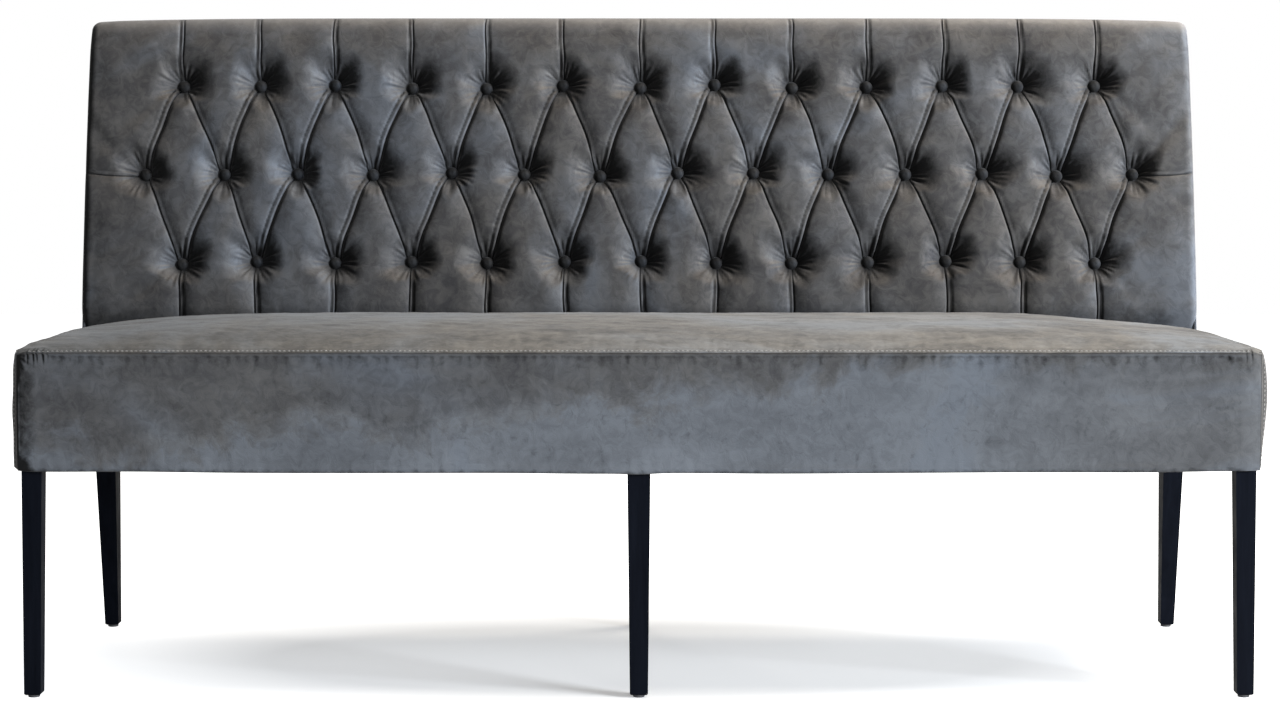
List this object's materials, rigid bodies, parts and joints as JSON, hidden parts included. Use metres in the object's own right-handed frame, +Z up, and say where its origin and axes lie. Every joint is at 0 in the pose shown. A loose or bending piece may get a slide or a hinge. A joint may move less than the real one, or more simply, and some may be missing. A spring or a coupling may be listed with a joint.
{
  "type": "upholstered banquette bench",
  "caption": "Long upholstered bench with a sprung seat, a leaning deep-buttoned backrest and slender square legs.",
  "frame": {"origin": "on the floor, under the middle of the bench's whole width and depth", "axes": "+X along the bench to the right of someone who faces it, +Y from its front to its back, +Z up"},
  "size_m": [1.8, 0.6399, 1],
  "materials": {
    "velvet": "grey velvet with a short pile, marked lighter and darker by its lie",
    "leg_lacquer": "beech under a near-black satin lacquer",
    "bare_beech": "planed beech, no finish",
    "plywood": "birch plywood, sanded",
    "foam": "open-cell polyurethane foam",
    "wadding": "white polyester wadding",
    "felt": "grey recycled felt",
    "lining_cloth": "unbleached cotton",
    "dust_cloth": "black non-woven cloth",
    "spring_steel": "oil-tempered wire and stamped clips",
    "zinc_steel": "bright zinc plate",
    "twine": "waxed linen twine",
    "glide_plastic": "grey nylon",
    "anchor_plastic": "white nylon washers"
  },
  "bodies": {
    "root": {"back_buttons": "velvet", "back_foam": "foam", "back_lining": "lining_cloth", "back_lower_rail_left": "bare_beech", "back_lower_rail_right": "bare_beech", "back_stud_left": "bare_beech", "back_stud_right": "bare_beech", "back_top_pad": "wadding", "back_top_rail": "bare_beech", "back_tufted_cover": "velvet", "board_screws": "zinc_steel", "button_twines": "twine", "corner_blocks": "bare_beech", "corner_bolts": "zinc_steel", "dust_cover": "dust_cloth", "dust_cover_staples": "zinc_steel", "frame_dowels": "bare_beech", "front_leg_left": "leg_lacquer", "front_leg_middle": "leg_lacquer", "front_leg_right": "leg_lacquer", "glides": "glide_plastic", "outside_back_cover": "velvet", "rear_leg_left": "leg_lacquer", "rear_leg_middle": "leg_lacquer", "rear_leg_right": "leg_lacquer", "seat_back_rail_left": "bare_beech", "seat_back_rail_right": "bare_beech", "seat_cross_rail_left": "bare_beech", "seat_cross_rail_middle": "bare_beech", "seat_cross_rail_right": "bare_beech", "seat_foam": "foam", "seat_front_pad": "wadding", "seat_front_panel": "velvet", "seat_front_rail_left": "bare_beech", "seat_front_rail_right": "bare_beech", "seat_side_pad_left": "wadding", "seat_side_pad_right": "wadding", "seat_side_panel_left": "velvet", "seat_side_panel_right": "velvet", "seat_side_rail_left": "bare_beech", "seat_side_rail_right": "bare_beech", "seat_springs": "spring_steel", "seat_top_panel": "velvet", "spring_clips": "spring_steel", "spring_felt": "felt", "tufting_board": "plywood", "twine_anchors": "anchor_plastic"}
  },
  "joints": []
}
